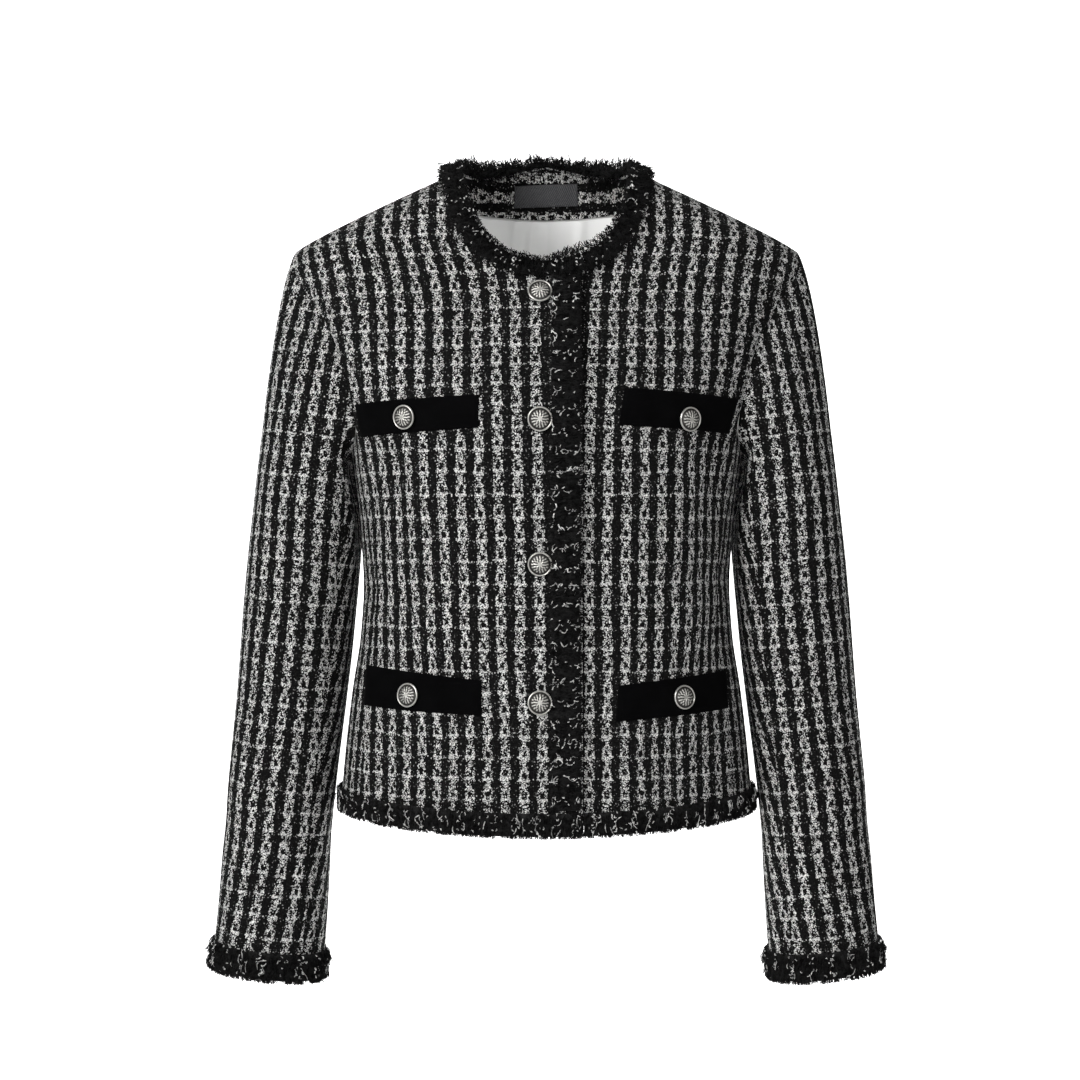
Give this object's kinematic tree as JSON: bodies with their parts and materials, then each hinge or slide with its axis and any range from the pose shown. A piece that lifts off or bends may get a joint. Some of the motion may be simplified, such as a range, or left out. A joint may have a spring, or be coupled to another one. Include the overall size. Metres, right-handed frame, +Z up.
{
  "type": "cropped tweed jacket",
  "caption": "Cropped collarless black and white striped tweed jacket with fringed edges, four velvet pocket bands and eight old silver buttons, filled out as when worn",
  "frame": {"origin": "the middle of the neck opening, level with the wearer's shoulders", "axes": "+Z up, -Y the front, +X the wearer's left"},
  "size_m": [0.5326, 0.2505, 0.6699],
  "materials": {
    "tweed": "rough boucle tweed, black with white stripes",
    "fringe_yarn": "matt black yarn with sparse white flecks",
    "black_velvet": "short velvet pile",
    "lining_satin": "pale satin",
    "label_cloth": "blank woven label",
    "antique_silver": "darkened old silver"
  },
  "bodies": {
    "root": {"front_right": "tweed", "front_left": "tweed", "side_right": "tweed", "side_left": "tweed", "back": "tweed", "sleeve_right_top": "tweed", "sleeve_right_under": "tweed", "sleeve_left_top": "tweed", "sleeve_left_under": "tweed", "facing_back_neck": "tweed", "lining_back": "lining_satin", "label": "label_cloth", "pocket_upper_right": "black_velvet", "pocket_upper_left": "black_velvet", "pocket_lower_right": "black_velvet", "pocket_lower_left": "black_velvet", "fringe_neck": "fringe_yarn", "fringe_placket": "fringe_yarn", "fringe_hem": "fringe_yarn", "fringe_cuff_right": "fringe_yarn", "fringe_cuff_left": "fringe_yarn", "button_front_1": "antique_silver", "button_front_2": "antique_silver", "button_front_3": "antique_silver", "button_front_4": "antique_silver", "button_pocket_upper_right": "antique_silver", "button_pocket_upper_left": "antique_silver", "button_pocket_lower_right": "antique_silver", "button_pocket_lower_left": "antique_silver"}
  },
  "joints": []
}
